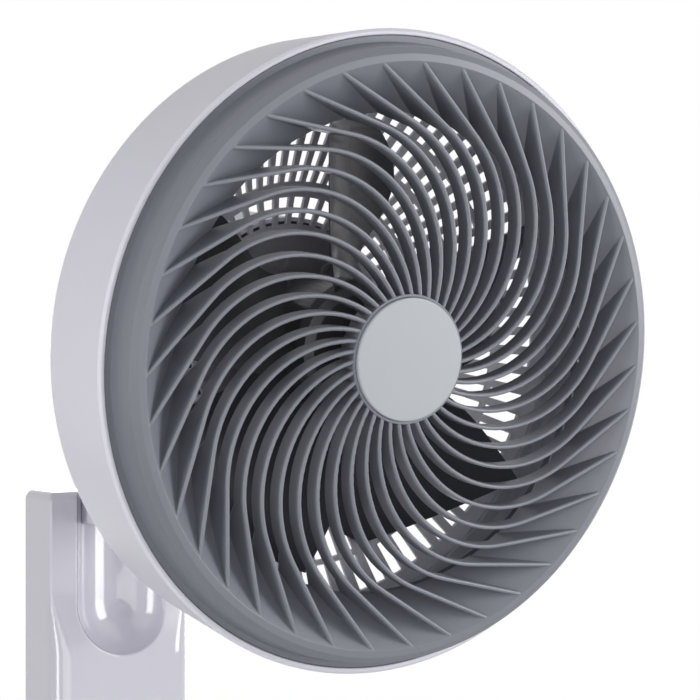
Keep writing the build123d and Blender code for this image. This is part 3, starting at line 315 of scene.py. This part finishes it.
def metal(name, tone, gloss, lines, stretch=no_lines, spread=0.2, stain=0.15, bump=0.05, metallic=1.0):
    """Metal finish that takes its drawn lines and stains from the metal grain."""
    finish, tree, shader = new_finish(name)
    grain = add_node(tree, "ShaderNodeGroup", {
        "Tone": (*tone, 1.0), "Line Scale": lines, "Stretch": stretch, "Gloss": gloss,
        "Gloss Spread": spread, "Stain": stain,
    }, node_tree=metal_group).outputs
    bumps = add_node(tree, "ShaderNodeBump", {
        "Strength": bump, "Distance": grain_depth, "Height": grain["Height"]})
    feed(tree, shader, {
        "Base Color": grain["Colour"], "Roughness": grain["Roughness"], "Normal": bumps.outputs["Normal"],
        "Metallic": metallic})
    return finish


ground_steel = metal("ground_steel", (0.58, 0.58, 0.60), 0.22, lines=90.0, stretch=lines_along_y)
dress(ground_steel, "motor_shaft", "drive_pin", "front_bearing", "rear_bearing", "swing_post")
plated_steel = metal("plated_steel", (0.60, 0.60, 0.61), 0.30, lines=400.0, spread=0.3, stain=0.25)
dress(plated_steel, "motor_screws", "motor_mount_screws", "cover_screws", "drum_screws", "grille_screws")
black_steel = metal("black_steel", (0.045, 0.045, 0.050), 0.38, lines=300.0, stain=0.4, metallic=0.0)
dress(black_steel, "motor_front_bracket", "motor_rear_bracket", "swing_motor")

head_tip = math.radians(6.53)
fan_axis = (0.0, math.cos(head_tip), math.sin(head_tip))
layer_depth = 0.0003
patch_dull = 0.15
patch_polish = 0.05


def banded(name, tone, dark, pitch, gloss, metallic, bump):
    """Finish of thin layers along the fan's axis: sheets of a stack or turns of wire."""
    finish, tree, shader = new_finish(name)
    place = place_on_piece(tree)
    depth = add_node(tree, "ShaderNodeVectorMath", {0: place, 1: fan_axis}, operation="DOT_PRODUCT")
    turns = maths(tree, "MULTIPLY", depth.outputs["Value"], 2.0 * math.pi / pitch)
    layers = add_node(tree, "ShaderNodeMapRange", {
        "Value": maths(tree, "SINE", turns), "From Min": -1.0, "From Max": 1.0}).outputs["Result"]
    patch = noise(tree, place, scale=160.0, detail=4.0)
    blend = add_node(tree, "ShaderNodeMix", {
        "Factor": maths(tree, "MULTIPLY", layers, patch), "A": (*dark, 1.0), "B": (*tone, 1.0),
    }, data_type="RGBA")
    rough = add_node(tree, "ShaderNodeMapRange", {
        "Value": patch, "To Min": gloss + patch_dull, "To Max": gloss - patch_polish})
    bumps = add_node(tree, "ShaderNodeBump", {
        "Strength": bump, "Distance": layer_depth, "Height": layers})
    feed(tree, shader, {
        "Base Color": blend.outputs["Result"], "Roughness": rough.outputs["Result"],
        "Normal": bumps.outputs["Normal"], "Metallic": metallic})
    return finish


sheet_stack = banded("sheet_stack", tone=(0.34, 0.34, 0.35), dark=(0.05, 0.05, 0.055), pitch=0.0010,
                     gloss=0.40, metallic=0.8, bump=0.6)
dress(sheet_stack, "motor_stator", "motor_rotor")
copper_wire = banded("copper_wire", tone=(0.75, 0.33, 0.13), dark=(0.20, 0.07, 0.025), pitch=0.0008,
                     gloss=0.28, metallic=0.9, bump=0.8)
dress(copper_wire, "motor_coils")

# ---------------------------------------------------------------------------
# Swing drive and neck: die-cast chassis, sintered bush, acetal gears, grey
# glass-filled knuckle that turns on the tilt pin between fibre washers.
cast_alloy = metal("cast_alloy", (0.50, 0.51, 0.52), 0.45, lines=500.0, spread=0.25, stain=0.3, bump=0.25)
dress(cast_alloy, "head_chassis")
bush_bronze = metal("bush_bronze", (0.55, 0.38, 0.17), 0.42, lines=900.0, stain=0.4)
dress(bush_bronze, "swing_bush")
gear_plastic = moulding("gear_ivory", (0.66, 0.62, 0.50), 0.35, grain=500.0, bump=0.05, edge=0.0002)
dress(gear_plastic, "neck_gear", "swing_pinion", "thrust_washer")
dress(plated_steel, "post_retainer", "tilt_nut", "tilt_spring_washer", "tilt_pin")
knuckle_plastic = moulding("knuckle_grey", (0.45, 0.46, 0.48), 0.40, grain=900.0)
dress(knuckle_plastic, "neck_knuckle")
fibre = moulding("friction_fibre", (0.16, 0.12, 0.09), 0.75, grain=260.0, height=0.8, cloud=0.5,
                 bump=0.6, wear_and_sheen=0.0)
dress(fibre, "friction_washers")

# ---------------------------------------------------------------------------
# Arm: satin white ABS over the hinge's fork, with a flat lid under its cable
# way, held to the back plate by four screws.
arm_plastic = moulding("arm_white", (0.72, 0.71, 0.79), 0.38, grain=1100.0, cloud=0.02, edge=0.0010)
dress(arm_plastic, "support_arm", "arm_cover")
dress(plated_steel, "arm_screws")

# ---------------------------------------------------------------------------
# Column: high-gloss white ABS shell, polished in the tool, on a satin back
# plate that hangs on a pressed, zinc-plated wall bracket.  Rubber grommet.
column_plastic = moulding("column_gloss", (0.59, 0.58, 0.65), 0.10, grain=70.0, spread=0.02, height=0.6,
                          bump=0.015, cloud=0.01, coat=0.7, coat_gloss=0.03, edge=0.0020, wear_and_sheen=0.02)
dress(column_plastic, "column_shell")
plate_white = moulding("plate_white", (0.62, 0.61, 0.64), 0.50, grain=1000.0, cloud=0.04)
dress(plate_white, "back_plate")
dress(plated_steel, "shell_screws")
lines_across = (1.0, 1.0, 40.0)
bracket_steel = metal("bracket_steel", (0.62, 0.63, 0.64), 0.30, lines=30.0, stretch=lines_across,
                      spread=0.3, stain=0.3)
dress(bracket_steel, "wall_bracket")
rubber = moulding("grommet_rubber", (0.030, 0.030, 0.032), 0.62, grain=800.0, cloud=0.2, wear_and_sheen=0.05)
dress(rubber, "inlet_grommet")

# ---------------------------------------------------------------------------
# Controls: grey satin fascia, smoked window over five lamps, four sprung push
# buttons with printed symbols, and behind them the switch board.  The power
# board stands on the back plate.
panel_plastic = moulding("panel_grey", (0.40, 0.41, 0.43), 0.42, grain=1400.0, cloud=0.03)
dress(panel_plastic, "control_panel")
button_plastic = moulding("button_grey", (0.56, 0.57, 0.59), 0.32, grain=1600.0, bump=0.08)
dress(button_plastic, "power_button", "speed_button", "swing_button", "timer_button")

ink_paint = moulding("symbol_ink", (0.045, 0.046, 0.052), 0.55, grain=2500.0, bump=0.05, wear_and_sheen=0.0)
ink_height = 0.00005
symbol_reach = 0.0036
symbol_stroke = 0.0006
ring_steps = 40
ring_overlap = 1.12
power_sweep = math.radians(290.0)
power_bar_rise = 0.0027
speed_bar_width = 0.0012
speed_bar_pitch = 0.0021
speed_bar_step = 0.00216
speed_bar_foot = -0.00288
swing_bar_length = 0.00432
arrow_place = 0.0027
arrow_radius = 0.0012
minute_hand = 0.00234
minute_hand_rise = 0.00108
hour_hand = 0.0018
hour_hand_shift = 0.000792


def ink_bar(build, width, height, x, z):
    """Printed bar."""
    size = Matrix.Diagonal((width, ink_height, height, 1.0))
    bmesh.ops.create_cube(build, size=1.0, matrix=Matrix.Translation((x, 0.0, z)) @ size)


def ink_ring(build, sweep):
    """Printed ring or arc, of short bars, with its gap at the top."""
    start = Matrix.Rotation(math.pi - sweep / 2.0, 4, "Y") @ Matrix.Translation((0.0, 0.0, symbol_reach))
    step_length = symbol_reach * sweep / ring_steps
    size = Matrix.Diagonal((step_length * ring_overlap, ink_height, symbol_stroke, 1.0))
    for step in range(ring_steps):
        turn = Matrix.Rotation((step + 0.5) * sweep / ring_steps, 4, "Y")
        bmesh.ops.create_cube(build, size=1.0, matrix=turn @ start @ size)


def ink_arrow(build, x, turn):
    """Printed arrowhead."""
    flat = Matrix.Rotation(math.pi / 2.0, 4, "X")
    place = Matrix.Translation((x, 0.0, 0.0)) @ Matrix.Rotation(turn, 4, "Y") @ flat
    bmesh.ops.create_cone(build, cap_ends=True, segments=3, radius1=arrow_radius, radius2=arrow_radius,
                          depth=ink_height, matrix=place)


def power_symbol(build):
    """Open ring with a bar in its gap."""
    ink_ring(build, power_sweep)
    ink_bar(build, symbol_stroke, symbol_reach, 0.0, power_bar_rise)


def speed_symbol(build):
    """Three bars, each taller than the one before."""
    for step in (1, 2, 3):
        tall = speed_bar_step * step
        ink_bar(build, speed_bar_width, tall, (step - 2) * speed_bar_pitch, tall / 2.0 + speed_bar_foot)


def swing_symbol(build):
    """Bar with an arrowhead at each end."""
    ink_bar(build, swing_bar_length, symbol_stroke, 0.0, 0.0)
    for side in (1, -1):
        ink_arrow(build, side * arrow_place, side * math.pi / 2.0)


def timer_symbol(build):
    """Clock face with two hands."""
    ink_ring(build, 2.0 * math.pi)
    ink_bar(build, symbol_stroke, minute_hand, 0.0, minute_hand_rise)
    ink_bar(build, hour_hand, symbol_stroke, hour_hand_shift, 0.0)


def button_symbol(button, body, draw):
    """Ink symbol on the face of a button, moving with it."""
    low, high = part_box(button)
    centre = (low + high) / 2.0
    build = bmesh.new()
    draw(build)
    bmesh.ops.translate(build, verts=build.verts, vec=(centre.x, low.y - ink_height / 2.0, centre.z))
    bmesh.ops.recalc_face_normals(build, faces=build.faces)
    symbol = new_piece(button + "_symbol", build, ink_paint)
    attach(symbol, body)


symbols = {"power_button": power_symbol, "speed_button": speed_symbol,
           "swing_button": swing_symbol, "timer_button": timer_symbol}
for button, draw in symbols.items():
    button_symbol(button, button + "_body", draw)

lens_acrylic = moulding("lens_smoked", (0.012, 0.013, 0.016), 0.07, grain=60.0, spread=0.05, cloud=0.2,
                        bump=0.02, coat=0.5, coat_gloss=0.03, wear_and_sheen=0.0)
dress(lens_acrylic, "display_window")
lamp_plastic = moulding("lamp_clear", (0.72, 0.80, 0.74), 0.12, grain=300.0, cloud=0.1, bump=0.03)
dress(lamp_plastic, "indicator_lamps")
black_plastic = moulding("black_plastic", (0.025, 0.025, 0.027), 0.45, grain=700.0, cloud=0.15)
dress(black_plastic, "tact_switches", "power_components")
dress(plated_steel, "board_screws", "power_screws")

track_depth = 0.00005


def board_finish(name):
    """Green solder mask over copper tracks."""
    finish, tree, shader = new_finish(name)
    place = place_on_piece(tree)
    turned = add_node(tree, "ShaderNodeMapping", {"Vector": place, "Rotation": (math.pi / 2.0, 0.0, 0.0)})
    tracks = add_node(tree, "ShaderNodeTexBrick", {
        "Vector": turned.outputs["Vector"], "Scale": 90.0, "Mortar Size": 0.06,
        "Color1": (0.010, 0.085, 0.030, 1.0), "Color2": (0.014, 0.105, 0.038, 1.0),
        "Mortar": (0.035, 0.190, 0.075, 1.0)})
    flux = noise(tree, place, scale=120.0, detail=2.0)
    rough = add_node(tree, "ShaderNodeMapRange", {"Value": flux, "To Min": 0.22, "To Max": 0.42})
    bumps = add_node(tree, "ShaderNodeBump", {
        "Strength": 0.2, "Distance": track_depth, "Height": tracks.outputs["Fac"]})
    feed(tree, shader, {
        "Base Color": tracks.outputs["Color"], "Roughness": rough.outputs["Result"],
        "Normal": bumps.outputs["Normal"]})
    return finish


dress(board_finish("circuit_board"), "control_board", "power_board")
